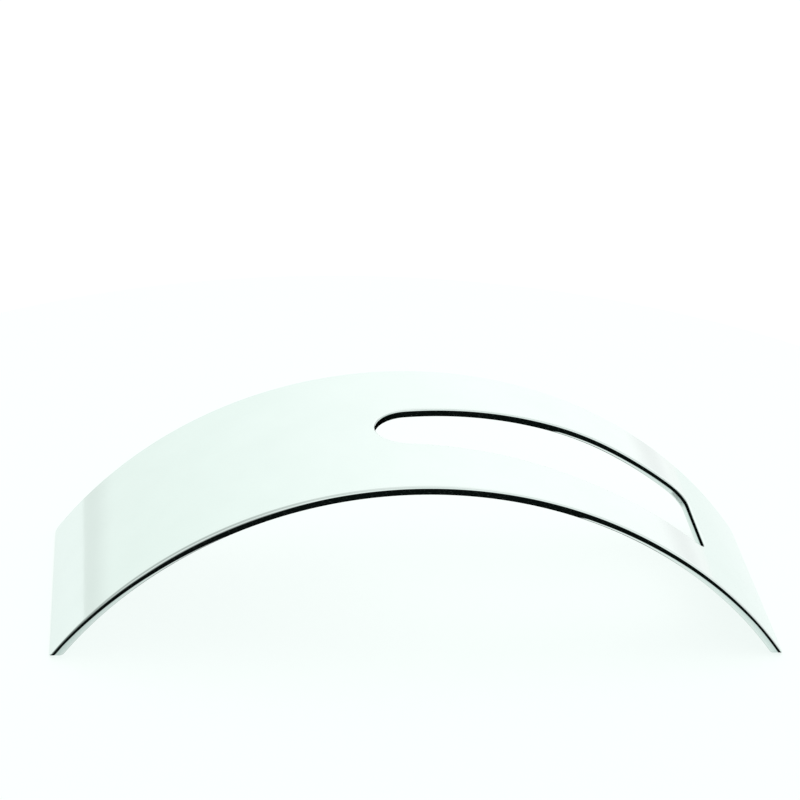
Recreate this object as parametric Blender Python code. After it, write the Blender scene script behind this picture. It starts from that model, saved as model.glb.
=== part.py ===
"""Arched wine bottle rack: one steel strip with a bottle slot, rolled to an arc.

The strip is drawn flat first. s runs along its top face from the crown and y across it,
and the metal lies below. Rolling then wraps s round a cylinder whose axis is parallel
to Y. Both ends are cut level, so that the arch stands on its two end faces.
Metres, +Z up, table top at Z = 0, origin on the table under the crown.
"""

import math

import bmesh
import bpy
from mathutils import Vector

# Driving dimensions
TOP_RADIUS = 0.183            # radius of the rolled top face
RISE = 0.0775                 # table to the top of the crown
STRIP_WIDTH = 0.107
STRIP_THICKNESS = 0.004
PLAN_CORNER_RADIUS = 0.003    # the strip's four corners
ARRIS_RADIUS = 0.0007         # polished rounding of every edge

SLOT_NOSE_S = -0.0182         # tip of the round end, under the bottle's shoulder
SLOT_END_S = 0.131            # straight end, where the bottle's base drops in
SLOT_HALF_WIDTH = 0.0252
SLOT_NOSE_RADIUS = 0.0157
SLOT_TAPER_END_S = 0.076      # from about here to the straight end the sides are parallel
SLOT_BLEND_RADIUS = 0.250     # easy curve between the tapering and the parallel side
SLOT_CORNER_RADIUS = 0.008

SECTION_COUNT = 56               # lengths between section lines; even, so that one line is the crown
NOSE_STEPS = 9                   # chords in half of the nose
BLEND_STEPS = 4                  # chords in the easy curve of the slot's side
CORNER_STEPS = 5                 # chords in each small corner
ARRIS_SEGMENTS = 2
MITRE_LENGTH = 0.030             # stretch over which sections lean from radial to the level cut
SECTION_SNAP = 0.0002            # a section line takes in points this close to it
SMOOTH_ANGLE = math.radians(30.0)

STEEL_COLOUR = (0.80, 0.84, 0.83, 1.0)
STEEL_ROUGHNESS = 0.06

# Worked out from them
CENTRE_HEIGHT = RISE - TOP_RADIUS
TOP_END_ANGLE = math.acos(-CENTRE_HEIGHT / TOP_RADIUS)
HALF_LENGTH = TOP_RADIUS * TOP_END_ANGLE


def clear_scene():
    for old in list(bpy.data.objects):
        bpy.data.objects.remove(old, do_unlink=True)


def steel_material():
    material = bpy.data.materials.new("polished_stainless_steel")
    material.use_nodes = True
    shader = material.node_tree.nodes["Principled BSDF"]
    shader.inputs["Base Color"].default_value = STEEL_COLOUR
    shader.inputs["Metallic"].default_value = 1.0
    shader.inputs["Roughness"].default_value = STEEL_ROUGHNESS
    return material


def arc(centre, radius, start, stop, steps):
    """Points from angle start to angle stop round a centre, both ends included."""
    sweep = [start + (stop - start) * i / steps for i in range(steps + 1)]
    return [(centre[0] + radius * math.cos(a), centre[1] + radius * math.sin(a)) for a in sweep]


def strip_outline():
    """Front half of the strip's outline, from the middle of its left end to that of its right."""
    corner_s = HALF_LENGTH - PLAN_CORNER_RADIUS
    corner_y = -STRIP_WIDTH / 2 + PLAN_CORNER_RADIUS
    left, front, right = math.pi, 1.5 * math.pi, 2.0 * math.pi
    points = [(-HALF_LENGTH, 0.0)]
    points += arc((-corner_s, corner_y), PLAN_CORNER_RADIUS, left, front, CORNER_STEPS)
    points += arc((corner_s, corner_y), PLAN_CORNER_RADIUS, front, right, CORNER_STEPS)
    points.append((HALF_LENGTH, 0.0))
    return points


def slot_outline():
    """Front half of the slot's outline, from the middle of its straight end to the nose's tip."""
    nose_s = SLOT_NOSE_S + SLOT_NOSE_RADIUS
    run = SLOT_TAPER_END_S - nose_s
    reach = math.hypot(run, SLOT_HALF_WIDTH)
    taper = math.atan2(SLOT_HALF_WIDTH, run) - math.asin(SLOT_NOSE_RADIUS / reach)
    corner = (SLOT_END_S - SLOT_CORNER_RADIUS, -SLOT_HALF_WIDTH + SLOT_CORNER_RADIUS)
    blend_s = SLOT_TAPER_END_S + SLOT_BLEND_RADIUS * math.tan(taper / 2)
    blend = (blend_s, -SLOT_HALF_WIDTH + SLOT_BLEND_RADIUS)
    left, front, right = math.pi, 1.5 * math.pi, 2.0 * math.pi
    points = [(SLOT_END_S, 0.0)]
    points += arc(corner, SLOT_CORNER_RADIUS, right, front, CORNER_STEPS)
    points += arc(blend, SLOT_BLEND_RADIUS, front, front - taper, BLEND_STEPS)
    points += arc((nose_s, 0.0), SLOT_NOSE_RADIUS, front - taper, left, NOSE_STEPS)
    return points


def flat_blank():
    """The strip before rolling, in two mirrored halves that meet along y = 0."""
    mesh = bmesh.new()
    ring = strip_outline() + slot_outline()
    for side in (1.0, -1.0):
        mesh.faces.new([mesh.verts.new((s, side * y, -STRIP_THICKNESS)) for s, y in ring])
    bmesh.ops.remove_doubles(mesh, verts=mesh.verts, dist=SECTION_SNAP / 10)
    raised = bmesh.ops.extrude_face_region(mesh, geom=mesh.faces[:], use_keep_orig=True)
    lifted = [item for item in raised["geom"] if isinstance(item, bmesh.types.BMVert)]
    bmesh.ops.translate(mesh, verts=lifted, vec=Vector((0.0, 0.0, STRIP_THICKNESS)))
    bmesh.ops.recalc_face_normals(mesh, faces=mesh.faces)
    return mesh


def round_arrises(mesh):
    """Round every edge between a broad face and the cut walls, all round strip and slot."""
    arrises = [
        edge for edge in mesh.edges
        if len(edge.link_faces) == 2 and edge.calc_face_angle() > math.radians(80.0)
        and abs(edge.verts[0].co.z - edge.verts[1].co.z) < SECTION_SNAP
    ]
    bmesh.ops.bevel(
        mesh, geom=arrises, offset=ARRIS_RADIUS, offset_type='OFFSET',
        segments=ARRIS_SEGMENTS, profile=0.5, affect='EDGES', clamp_overlap=False,
    )


def add_section_lines(mesh):
    """Cut lines across the strip at even steps, so that it can be rolled."""
    for i in range(1, SECTION_COUNT):
        s = -HALF_LENGTH + 2 * HALF_LENGTH * i / SECTION_COUNT
        everything = mesh.verts[:] + mesh.edges[:] + mesh.faces[:]
        bmesh.ops.bisect_plane(
            mesh, geom=everything, dist=SECTION_SNAP, plane_co=(s, 0.0, 0.0), plane_no=(1.0, 0.0, 0.0),
        )


def rolled(point):
    """Place of a point of the flat blank once the strip is rolled and its ends are level."""
    radius = TOP_RADIUS + point.z
    level_angle = math.acos(-CENTRE_HEIGHT / radius)
    lean = max(0.0, 1.0 - (HALF_LENGTH - abs(point.x)) / MITRE_LENGTH)
    angle = point.x / TOP_RADIUS
    angle -= math.copysign(lean * (TOP_END_ANGLE - level_angle), point.x)
    return Vector((radius * math.sin(angle), point.y, radius * math.cos(angle) + CENTRE_HEIGHT))


def arched_plate():
    mesh = flat_blank()
    round_arrises(mesh)
    add_section_lines(mesh)
    for vertex in mesh.verts:
        vertex.co = rolled(vertex.co)
    data = bpy.data.meshes.new("arched_plate")
    mesh.to_mesh(data)
    mesh.free()
    data.shade_smooth()
    data.set_sharp_from_angle(angle=SMOOTH_ANGLE)
    data.materials.append(steel_material())
    plate = bpy.data.objects.new("arched_plate", data)
    bpy.context.scene.collection.objects.link(plate)


clear_scene()
arched_plate()
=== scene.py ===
"""Looks of the arched steel wine rack: a fine mirror-smooth mesh, polished steel and a white studio.

The plate is drawn flat and rolled with the same rule and the same sizes as the CAD part, so it
fills the same box. s runs along its top face from the crown and y across it.
Every vertex gets the true normal of the rolled surface, so that reflections show no facets.
"""

import math

import bmesh
import bpy
import numpy as np
from mathutils import Matrix, Vector


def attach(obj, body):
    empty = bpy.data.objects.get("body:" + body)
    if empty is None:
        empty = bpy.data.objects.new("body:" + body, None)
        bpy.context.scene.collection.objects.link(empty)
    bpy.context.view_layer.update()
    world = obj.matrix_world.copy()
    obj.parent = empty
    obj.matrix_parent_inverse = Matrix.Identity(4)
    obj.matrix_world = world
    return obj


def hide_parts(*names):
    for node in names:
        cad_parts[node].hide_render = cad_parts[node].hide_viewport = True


# The plate, in metres, as the CAD part has it
TOP_RADIUS = 0.183
RISE = 0.0775
STRIP_WIDTH = 0.107
THICKNESS = 0.004
PLAN_CORNER_RADIUS = 0.003
ARRIS_RADIUS = 0.0007
SLOT_NOSE_S = -0.0182
SLOT_END_S = 0.131
SLOT_HALF_WIDTH = 0.0252
SLOT_NOSE_RADIUS = 0.0157
SLOT_TAPER_END_S = 0.076
SLOT_BLEND_RADIUS = 0.250
SLOT_CORNER_RADIUS = 0.008
MITRE_LENGTH = 0.030
CENTRE_HEIGHT = RISE - TOP_RADIUS
TOP_END_ANGLE = math.acos(-CENTRE_HEIGHT / TOP_RADIUS)
HALF_LENGTH = TOP_RADIUS * TOP_END_ANGLE

# How finely it is cut up
SECTION_COUNT = 110           # lengths between the lines across the strip
CORNER_STEPS = 12
BLEND_STEPS = 12
NOSE_STEPS = 30
ARRIS_STEPS = 6
WALL_STEPS = 3
WELD = 1e-6                   # vertices this close are one, in metres
SECTION_SNAP = 5e-5           # a line across takes in points this close to it
SLOPE_STEP = 1e-6             # shift that measures the slope of the rolling rule

# Camera: place in metres, and which way it is turned in degrees
CAMERA_PLACE = (-0.12070, -0.97935, 0.55967)
CAMERA_YAW = 6.546
CAMERA_DOWN = 25.513
CAMERA_ROLL = 3.161
CAMERA_LENS = 120.71
SENSOR_WIDTH = 36.0
CAMERA_SEES = (0.05, 50.0)

# Metal colours, where white stands for a glint that isn't tinted. The dark and pale ones are painted
# reflections and painted shade.
STEEL = (0.795, 0.852, 0.832, 1.0)
HAZED_STEEL = (0.780, 0.838, 0.817, 1.0)
# painted dark reflection on the cut walls, and painted shade on the left leg's wall
PAINTED_DARK = (0.0025, 0.0040, 0.0036, 1.0)
# lighter specks within the painted dark reflection
PAINTED_DARK_SPECK = (0.030, 0.040, 0.037, 1.0)
# painted pale reflection of the white floor on the lower walls near the feet
PAINTED_PALE = (0.600, 0.690, 0.665, 1.0)
WHITE = (1.0, 1.0, 1.0, 1.0)

# Noise patterns: how fine along the plate, across it and down its edge, then detail and roughness
HAZE = ((38.0, 38.0, 38.0), 4.0, 0.55)
BUFFING = ((14.0, 2400.0, 400.0), 3.0, 0.6)
SPECKS = ((900.0, 900.0, 2600.0), 2.0, 0.6)
WAVES = ((9.0, 16.0, 9.0), 1.0, 0.4)

# Roughness of the polish from clear to hazed, and what is added to it
POLISH_ROUGHNESS = (0.050, 0.085)
BUFFING_ROUGHNESS = 0.02
DARK_ROUGHNESS = 0.28
PALE_ROUGHNESS = 0.20

# Bumps: heights of the two patterns, and how much of them shows
WAVE_HEIGHT = 0.5
BUFFING_HEIGHT = 0.0006
BUMP_STRENGTH = 0.25
BUMP_DISTANCE = 0.001

# The cut walls, with painted reflections and painted shade. Places are along the plate in metres,
# depths are below its top face in millimetres.
# The band of painted dark reflection is given by the knees of its upper and of its lower limit, as
# (place, depth).
DARK_FROM = (
    (-0.170, 0.12), (-0.120, 1.16), (-0.062, 1.22),
    (-0.040, 1.05), (0.104, 1.05), (0.160, 0.42),
)
DARK_TO = (
    (-0.168, 1.35), (-0.118, 2.95), (-0.086, 3.60), (-0.076, 4.60),
    (0.056, 4.60), (0.065, 3.20), (0.100, 2.80), (0.156, 1.45),
)
DARK_FROM_SOFTNESS = (0.40, 0.12)    # on the left leg, and on the rest
DARK_TO_SOFTNESS = 0.10
LEFT_LEG = (-0.070, -0.045)          # between these places the left leg's look gives way
TOP_ARRIS = (0.02, 0.15)             # depths over which the dark may set in
WALL_TILT = (-0.99, -0.85)           # of the flat normal, from the underside to the lower arris
LOOKS_SHIFT = 0.0105                 # the painted dark line and the painted pale reflection are centred this far left
LINE_DEPTH = 3.78                    # of a thin line of painted dark reflection on the lower arris
LINE_EDGE = (0.10, 0.24)
LINE_FADE = (0.094, 0.135)
LINE_AT_FEET = 0.08
PALE_PLACE = (0.080, 0.120)          # the wall below the band takes a painted pale reflection between these
PALE_DEPTH = (2.0, 3.7)
PALE_AT_BOTTOM = 0.2
LEFT_LEG_PAINTED_SHADE = 0.12                    # how much painted shade darkens the left leg's wall
SHADE_DEPTH = (0.1, 0.5)

# The floor is a disc, dull white with a glow of its own
FLOOR_RADIUS = 0.34
FLOOR_SEGMENTS = 128
FLOOR_DROP = 0.0002
FLOOR_COLOUR = (0.15, 0.153, 0.152, 1.0)
FLOOR_ROUGHNESS = 0.9
FLOOR_GLOW = (0.935, 1.0, 0.978, 1.0)
FLOOR_GLOW_STRENGTH = 0.84

# The surroundings, by the direction of a ray: x to the right, y to the back and z up
SKY_LEFT = (0.925, 1.0, 0.965, 1.0)
SKY_RIGHT = (0.988, 1.0, 1.0, 1.0)
SKY_STRENGTH = 1.06
RIGHT_GAIN = 0.10
HIGH_GAIN = 0.05
LEFT_TO_RIGHT = (-0.6, 0.5)
LOW_TO_HIGH = (0.0, 0.5)
FRONT_TO_BACK = (-0.35, 0.4)
SIDES_TO_BACK = (0.40, 0.80)
LOW_FRONT_RISE = (0.05, 0.65)
LEFT_FRONT_LOSS = 0.15
LOW_FRONT_LOSS = 0.22
LOW_FRONT_SPARED = 0.7               # share of that loss which the right side is spared
SIDES_LOSS = 0.27
SIDES_SPARED = 0.9                   # the same for high up on the right side
HORIZON_RISE = -0.045
HORIZON_EDGE = (0.005, 0.085)
HORIZON_LOSS = 0.12
GROUND = (0.98, 1.0, 0.99, 1.0)
GROUND_STRENGTH = 1.08
GROUND_RISE = (-0.110, -0.085)

LIGHT_PLACE = (0.1, 0.2, 1.6)
LIGHT_SIZE = (1.6, 1.2)
LIGHT_POWER = 6.0


def arc(centre, radius, start, stop, steps, sign):
    """Points (s, y) with their outward normals from angle start to angle stop round a centre."""
    rows = []
    for i in range(steps + 1):
        a = start + (stop - start) * i / steps
        ca, sa = math.cos(a), math.sin(a)
        rows.append((centre[0] + radius * ca, centre[1] + radius * sa, sign * ca, sign * sa))
    return rows


def strip_outline():
    """Front half of the strip's outline, left end to right end."""
    corner_s = HALF_LENGTH - PLAN_CORNER_RADIUS
    corner_y = -STRIP_WIDTH / 2 + PLAN_CORNER_RADIUS
    left, front, right = math.pi, 1.5 * math.pi, 2.0 * math.pi
    rows = [(-HALF_LENGTH, 0.0, -1.0, 0.0)]
    rows += arc((-corner_s, corner_y), PLAN_CORNER_RADIUS, left, front, CORNER_STEPS, 1)
    rows += arc((corner_s, corner_y), PLAN_CORNER_RADIUS, front, right, CORNER_STEPS, 1)
    rows.append((HALF_LENGTH, 0.0, 1.0, 0.0))
    return rows


def slot_outline():
    """Front half of the slot's outline, straight end to nose tip. Normals point into the slot."""
    nose_s = SLOT_NOSE_S + SLOT_NOSE_RADIUS
    run = SLOT_TAPER_END_S - nose_s
    reach = math.hypot(run, SLOT_HALF_WIDTH)
    taper = math.atan2(SLOT_HALF_WIDTH, run) - math.asin(SLOT_NOSE_RADIUS / reach)
    corner = (SLOT_END_S - SLOT_CORNER_RADIUS, -SLOT_HALF_WIDTH + SLOT_CORNER_RADIUS)
    blend_s = SLOT_TAPER_END_S + SLOT_BLEND_RADIUS * math.tan(taper / 2)
    blend = (blend_s, -SLOT_HALF_WIDTH + SLOT_BLEND_RADIUS)
    left, front, right = math.pi, 1.5 * math.pi, 2.0 * math.pi
    rows = [(SLOT_END_S, 0.0, -1.0, 0.0)]
    rows += arc(corner, SLOT_CORNER_RADIUS, right, front, CORNER_STEPS, -1)
    rows += arc(blend, SLOT_BLEND_RADIUS, front, front - taper, BLEND_STEPS, -1)
    rows += arc((nose_s, 0.0), SLOT_NOSE_RADIUS, front - taper, left, NOSE_STEPS, -1)
    return rows


def edge_profile():
    """(inset, depth, share of outline normal, share of up) down the cut edge: arris, wall, arris."""
    r = ARRIS_RADIUS
    top = []
    for i in range(ARRIS_STEPS + 1):
        a = 0.5 * math.pi * i / ARRIS_STEPS
        top.append((r * (1 - math.sin(a)), r * (1 - math.cos(a)), math.sin(a), math.cos(a)))
    wall = [
        (0.0, r + (THICKNESS - 2 * r) * i / WALL_STEPS, 1.0, 0.0) for i in range(1, WALL_STEPS)
    ]
    bottom = [(inset, THICKNESS - depth, out, -up) for inset, depth, out, up in reversed(top)]
    return top + wall + bottom


def flat_plate():
    """Both halves of the plate before rolling, welded along y = 0, with each vertex's flat normal."""
    mesh = bmesh.new()
    normal = mesh.verts.layers.float_vector.new("flat_normal")
    profile = edge_profile()
    for side in (-1.0, 1.0):
        rims = []
        for outline in (strip_outline(), slot_outline()):
            rows = []
            for inset, depth, out, up in profile:
                row = []
                for s, y, ns, ny in outline:
                    vert = mesh.verts.new((s - inset * ns, -side * (y - inset * ny), -depth))
                    vert[normal] = Vector((out * ns, -side * out * ny, up))
                    row.append(vert)
                rows.append(row)
            for upper, lower in zip(rows, rows[1:]):
                for i in range(len(upper) - 1):
                    mesh.faces.new([upper[i], upper[i + 1], lower[i + 1], lower[i]])
            rims.append(rows)
        mesh.faces.new(rims[0][0] + rims[1][0])
        mesh.faces.new(rims[0][-1] + rims[1][-1])
    bmesh.ops.remove_doubles(mesh, verts=mesh.verts, dist=WELD)
    bmesh.ops.recalc_face_normals(mesh, faces=mesh.faces)
    for i in range(1, SECTION_COUNT):
        s = -HALF_LENGTH + 2 * HALF_LENGTH * i / SECTION_COUNT
        everything = mesh.verts[:] + mesh.edges[:] + mesh.faces[:]
        bmesh.ops.bisect_plane(
            mesh, geom=everything, dist=SECTION_SNAP, plane_co=(s, 0, 0), plane_no=(1, 0, 0),
        )
    return mesh


def rolled(flat):
    """Places of flat points (s, y, minus depth) on the rolled plate with level ends."""
    s, y, z = flat[:, 0], flat[:, 1], flat[:, 2]
    radius = TOP_RADIUS + z
    level = np.arccos(-CENTRE_HEIGHT / radius)
    lean = np.maximum(0.0, 1.0 - (HALF_LENGTH - np.abs(s)) / MITRE_LENGTH)
    angle = s / TOP_RADIUS - np.sign(s) * lean * (TOP_END_ANGLE - level)
    return np.stack([radius * np.sin(angle), y, radius * np.cos(angle) + CENTRE_HEIGHT], 1)


def rolled_normals(flat, normals):
    """Normals of the rolled plate, from the flat ones and the slope of the rolling rule."""
    slope = np.zeros((len(flat), 3, 3))
    for axis in range(3):
        shift = np.zeros(3)
        shift[axis] = SLOPE_STEP
        slope[:, :, axis] = (rolled(flat + shift) - rolled(flat - shift)) / (2 * SLOPE_STEP)
    turned = np.einsum("nij,nj->ni", np.linalg.inv(slope).transpose(0, 2, 1), normals)
    return turned / np.linalg.norm(turned, axis=1, keepdims=True)


def make_plate():
    """The rolled plate, whose vertices keep their flat places and tilts for the material."""
    mesh = flat_plate()
    data = bpy.data.meshes.new("polished_arch")
    mesh.to_mesh(data)
    mesh.free()
    count = len(data.vertices)
    flat = np.zeros(count * 3)
    data.vertices.foreach_get("co", flat)
    flat = flat.reshape(-1, 3)
    normals = np.zeros(count * 3)
    data.attributes["flat_normal"].data.foreach_get("vector", normals)
    normals = normals.reshape(-1, 3)
    normals /= np.linalg.norm(normals, axis=1, keepdims=True)
    data.vertices.foreach_set("co", rolled(flat).ravel())
    place = data.attributes.new("flat_place", 'FLOAT_VECTOR', 'POINT')
    place.data.foreach_set("vector", flat.ravel())
    tilt = data.attributes.new("tilt", 'FLOAT', 'POINT')
    tilt.data.foreach_set("value", normals[:, 2].copy())
    data.attributes.remove(data.attributes["flat_normal"])
    data.update()
    data.shade_smooth()
    data.normals_split_custom_set_from_vertices(rolled_normals(flat, normals))
    plate = bpy.data.objects.new("polished_arch", data)
    bpy.context.scene.collection.objects.link(plate)
    return plate


class Nodes:
    """Short ways to add and join shader nodes in one tree."""

    def __init__(self, tree):
        self.tree = tree

    def add(self, kind, **sockets):
        node = self.tree.nodes.new(kind)
        for name, value in sockets.items():
            self.join(value, node.inputs[name])
        return node

    def join(self, value, socket):
        if isinstance(value, bpy.types.NodeSocket):
            self.tree.links.new(value, socket)
        else:
            socket.default_value = value

    def attribute(self, name):
        node = self.add("ShaderNodeAttribute")
        node.attribute_name = name
        return node

    def math(self, operation, a, b=0.0):
        node = self.add("ShaderNodeMath")
        node.operation = operation
        self.join(a, node.inputs[0])
        self.join(b, node.inputs[1])
        return node.outputs[0]

    def plus(self, a, b):
        return self.math('ADD', a, b)

    def minus(self, a, b):
        return self.math('SUBTRACT', a, b)

    def times(self, a, b):
        return self.math('MULTIPLY', a, b)

    def less(self, value, share):
        """The value once that share of it is taken away."""
        return self.times(value, self.minus(1.0, share))

    def remap(self, value, low, high, to_low, to_high, smooth=False):
        node = self.add("ShaderNodeMapRange")
        node.interpolation_type = 'SMOOTHSTEP' if smooth else 'LINEAR'
        for given, socket in zip((value, low, high, to_low, to_high), node.inputs):
            self.join(given, socket)
        return node.outputs["Result"]

    def rise(self, value, span):
        """0 before the span and 1 after it, eased in between."""
        return self.remap(value, *span, 0.0, 1.0, smooth=True)

    def fall(self, value, span):
        """1 before the span and 0 after it, eased in between."""
        return self.remap(value, *span, 1.0, 0.0, smooth=True)

    def polyline(self, value, points):
        """Straight lines from point to point, level before the first and after the last."""
        total = points[0][1]
        for (x0, y0), (x1, y1) in zip(points, points[1:]):
            total = self.plus(total, self.remap(value, x0, x1, 0.0, y1 - y0))
        return total

    def blend(self, factor, a, b):
        """Colour a, or b where the factor is 1. The node's sockets 0, 6 and 7 are those for colours."""
        node = self.add("ShaderNodeMix")
        node.data_type = 'RGBA'
        self.join(factor, node.inputs[0])
        self.join(a, node.inputs[6])
        self.join(b, node.inputs[7])
        return node.outputs[2]

    def noise(self, vector, fineness, detail, roughness):
        scaled = self.add("ShaderNodeMapping", Vector=vector, Scale=fineness).outputs["Vector"]
        texture = self.add(
            "ShaderNodeTexNoise", Vector=scaled, Scale=1.0, Detail=detail, Roughness=roughness,
        )
        return texture.outputs["Fac"]


def cut_wall_painted_light(n, s, depth, tilt):
    """Where the cut walls take painted dark and pale reflections and painted shade, each as a share
    from 0 to 1.

    The painted dark reflection lies below the bright top arris, down to a depth that shrinks towards
    the feet. Part of the way out a thin painted dark line runs along the lower arris as well.
    """
    wall = n.rise(tilt, WALL_TILT)
    from_middle = n.math('ABSOLUTE', n.plus(s, LOOKS_SHIFT))

    softness = n.remap(s, *LEFT_LEG, *DARK_FROM_SOFTNESS)
    past_start = n.math('DIVIDE', n.minus(depth, n.polyline(s, DARK_FROM)), softness)
    started = n.times(n.rise(past_start, (-1.0, 1.0)), n.remap(depth, *TOP_ARRIS, 0.0, 1.0))
    started = n.times(wall, started)

    before_end = n.minus(n.polyline(s, DARK_TO), depth)
    band = n.rise(before_end, (-DARK_TO_SOFTNESS, DARK_TO_SOFTNESS))
    off_line = n.math('ABSOLUTE', n.minus(depth, LINE_DEPTH))
    fade = n.remap(from_middle, *LINE_FADE, 1.0, LINE_AT_FEET, smooth=True)
    line = n.times(n.fall(off_line, LINE_EDGE), fade)
    # painted dark reflection: a band below the top arris and a thin line on the lower arris
    dark = n.times(started, n.math('MAXIMUM', band, line))

    # painted pale reflection of the floor, low on the walls towards the feet
    outwards = n.remap(from_middle, *PALE_PLACE, 0.0, 1.0)
    downwards = n.remap(depth, *PALE_DEPTH, 1.0, PALE_AT_BOTTOM)
    pale = n.times(started, n.times(outwards, downwards))

    # painted shade on the left leg's wall
    left = n.times(wall, n.remap(s, *LEFT_LEG, LEFT_LEG_PAINTED_SHADE, 0.0))
    shade = n.times(left, n.remap(depth, *SHADE_DEPTH, 0.0, 1.0))
    return dark, pale, shade


def polished_steel():
    """Mirror-polished steel with faint buffing lines and haze, and painted dark and pale reflections
    and painted shade on the cut walls.
    """
    material = bpy.data.materials.new("polished_steel")
    material.use_nodes = True
    tree = material.node_tree
    n = Nodes(tree)
    shader = tree.nodes["Principled BSDF"]
    flat = n.attribute("flat_place").outputs["Vector"]
    place = n.add("ShaderNodeSeparateXYZ", Vector=flat)
    depth = n.times(place.outputs["Z"], -1000.0)
    tilt = n.attribute("tilt").outputs["Fac"]
    dark, pale, shade = cut_wall_painted_light(n, place.outputs["X"], depth, tilt)
    haze = n.noise(flat, *HAZE)
    buffing = n.noise(flat, *BUFFING)

    tint = n.blend(n.remap(haze, 0.35, 0.65, 0.0, 1.0), STEEL, HAZED_STEEL)
    # painted pale reflection on the lower walls
    tint = n.blend(pale, tint, PAINTED_PALE)
    # painted shade on the left leg's wall
    tint = n.blend(shade, tint, PAINTED_DARK)
    # the painted dark reflection of the cut walls, with lighter specks in it
    speckled = n.remap(n.noise(flat, *SPECKS), 0.60, 0.72, 0.0, 1.0)
    cut = n.blend(speckled, PAINTED_DARK, PAINTED_DARK_SPECK)
    n.join(n.blend(dark, tint, cut), shader.inputs["Base Color"])
    # the painted dark reflection also darkens the metal's own glint there
    n.join(n.blend(dark, WHITE, PAINTED_DARK), shader.inputs["Specular Tint"])
    shader.inputs["Metallic"].default_value = 1.0

    polish = n.remap(haze, 0.30, 0.70, *POLISH_ROUGHNESS)
    rough = n.plus(polish, n.remap(buffing, 0.3, 0.7, 0.0, BUFFING_ROUGHNESS))
    rough = n.plus(rough, n.times(dark, DARK_ROUGHNESS))
    rough = n.plus(rough, n.times(pale, PALE_ROUGHNESS))
    n.join(rough, shader.inputs["Roughness"])

    waves = n.noise(flat, *WAVES)
    height = n.plus(n.times(waves, WAVE_HEIGHT), n.times(buffing, BUFFING_HEIGHT))
    bump = n.add("ShaderNodeBump", Strength=BUMP_STRENGTH, Distance=BUMP_DISTANCE, Height=height)
    n.join(bump.outputs["Normal"], shader.inputs["Normal"])
    return material


def make_camera():
    camera = bpy.data.objects.new("camera", bpy.data.cameras.new("camera"))
    yaw, down, roll = map(math.radians, (CAMERA_YAW, CAMERA_DOWN, CAMERA_ROLL))
    ahead = Vector((math.sin(yaw) * math.cos(down), math.cos(yaw) * math.cos(down), -math.sin(down)))
    level = Vector((math.cos(yaw), -math.sin(yaw), 0.0))
    above = level.cross(ahead)
    right = math.cos(roll) * level + math.sin(roll) * above
    up = math.cos(roll) * above - math.sin(roll) * level
    turn = Matrix((right, up, -ahead)).transposed().to_4x4()
    camera.matrix_world = Matrix.Translation(CAMERA_PLACE) @ turn
    camera.data.lens = CAMERA_LENS
    camera.data.sensor_width = SENSOR_WIDTH
    camera.data.clip_start, camera.data.clip_end = CAMERA_SEES
    bpy.context.scene.collection.objects.link(camera)
    bpy.context.scene.camera = camera


def make_floor():
    """A white disc that glows a little, so that the shadow on it stays faint."""
    mesh = bmesh.new()
    bmesh.ops.create_circle(mesh, cap_ends=True, segments=FLOOR_SEGMENTS, radius=FLOOR_RADIUS)
    data = bpy.data.meshes.new("floor")
    mesh.to_mesh(data)
    mesh.free()
    material = bpy.data.materials.new("white_sheet")
    material.use_nodes = True
    shader = material.node_tree.nodes["Principled BSDF"]
    shader.inputs["Base Color"].default_value = FLOOR_COLOUR
    shader.inputs["Roughness"].default_value = FLOOR_ROUGHNESS
    shader.inputs["Emission Color"].default_value = FLOOR_GLOW
    shader.inputs["Emission Strength"].default_value = FLOOR_GLOW_STRENGTH
    data.materials.append(material)
    floor = bpy.data.objects.new("floor", data)
    floor.location.z = -FLOOR_DROP
    bpy.context.scene.collection.objects.link(floor)


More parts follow.
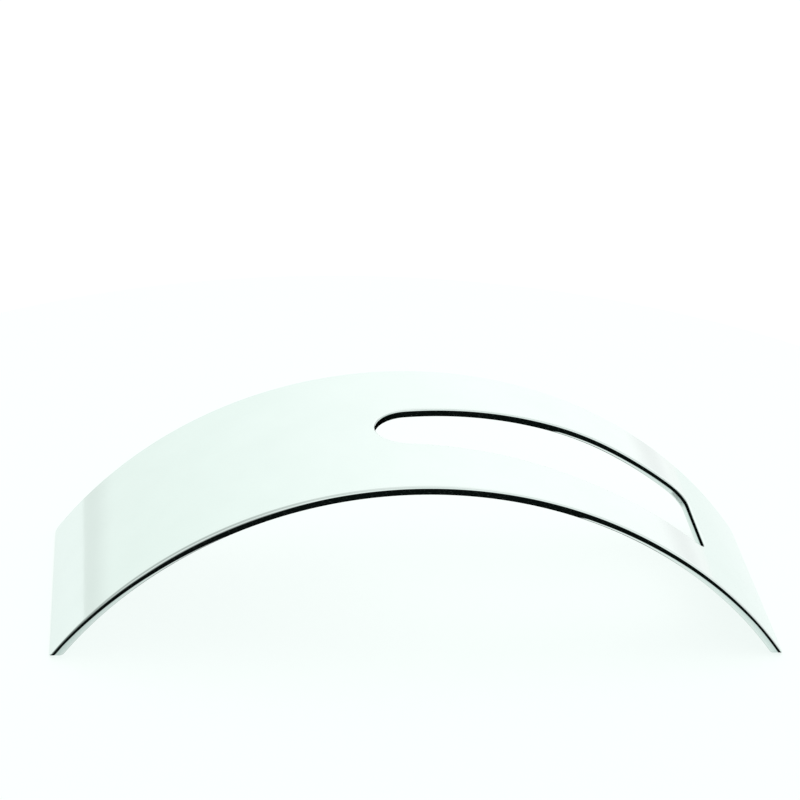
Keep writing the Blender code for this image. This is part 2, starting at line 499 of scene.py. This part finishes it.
def make_world():
    """Soft white surroundings: greener to the left, darker low down behind the camera and in a band
    along the horizon, and everywhere dimmer than the bright sweep at the back."""
    world = bpy.data.worlds.new("studio")
    bpy.context.scene.world = world
    world.use_nodes = True
    tree = world.node_tree
    n = Nodes(tree)
    ray = n.add("ShaderNodeTexCoord").outputs["Generated"]
    across, back, up = n.add("ShaderNodeSeparateXYZ", Vector=ray).outputs
    right = n.rise(across, LEFT_TO_RIGHT)
    high = n.rise(up, LOW_TO_HIGH)
    front = n.fall(back, FRONT_TO_BACK)

    low_front = n.times(front, n.fall(up, LOW_FRONT_RISE))
    low_front = n.less(low_front, n.times(right, LOW_FRONT_SPARED))
    off_horizon = n.math('ABSOLUTE', n.minus(up, HORIZON_RISE))
    sides = n.less(n.fall(back, SIDES_TO_BACK), n.times(right, n.times(high, SIDES_SPARED)))
    strength = n.plus(n.plus(SKY_STRENGTH, n.times(right, RIGHT_GAIN)), n.times(high, HIGH_GAIN))
    for share, loss in (
        (n.less(front, right), LEFT_FRONT_LOSS),
        (low_front, LOW_FRONT_LOSS),
        (n.fall(off_horizon, HORIZON_EDGE), HORIZON_LOSS),
        (sides, SIDES_LOSS),
    ):
        strength = n.less(strength, n.times(share, loss))

    # Well below the horizon, past the edge of the floor, everything is as white as the floor.
    colour = n.blend(right, SKY_LEFT, SKY_RIGHT)
    sky = n.add("ShaderNodeBackground", Color=colour, Strength=strength)
    ground = n.add("ShaderNodeBackground", Color=GROUND, Strength=GROUND_STRENGTH)
    mix = n.add("ShaderNodeMixShader", Fac=n.fall(up, GROUND_RISE))
    n.join(sky.outputs[0], mix.inputs[1])
    n.join(ground.outputs[0], mix.inputs[2])
    n.join(mix.outputs[0], tree.nodes["World Output"].inputs["Surface"])


def make_light():
    """A wide lamp above, turned to the origin, that the metal doesn't mirror."""
    data = bpy.data.lights.new("overhead", 'AREA')
    data.shape = 'RECTANGLE'
    data.size, data.size_y = LIGHT_SIZE
    data.energy = LIGHT_POWER
    light = bpy.data.objects.new("overhead", data)
    light.location = LIGHT_PLACE
    light.visible_glossy = False
    light.rotation_mode = 'QUATERNION'
    light.rotation_quaternion = Vector(LIGHT_PLACE).to_track_quat('Z', 'Y')
    bpy.context.scene.collection.objects.link(light)


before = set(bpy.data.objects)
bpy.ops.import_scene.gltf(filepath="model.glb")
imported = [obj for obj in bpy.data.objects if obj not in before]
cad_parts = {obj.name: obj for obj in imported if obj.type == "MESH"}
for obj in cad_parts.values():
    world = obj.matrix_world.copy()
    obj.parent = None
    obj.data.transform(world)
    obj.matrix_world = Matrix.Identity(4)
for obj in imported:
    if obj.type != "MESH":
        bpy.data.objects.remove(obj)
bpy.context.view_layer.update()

plate = make_plate()
plate.data.materials.append(polished_steel())
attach(plate, "root")
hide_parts("arched_plate")

make_camera()
make_floor()
make_world()
make_light()
bpy.context.scene.view_settings.view_transform = 'Standard'
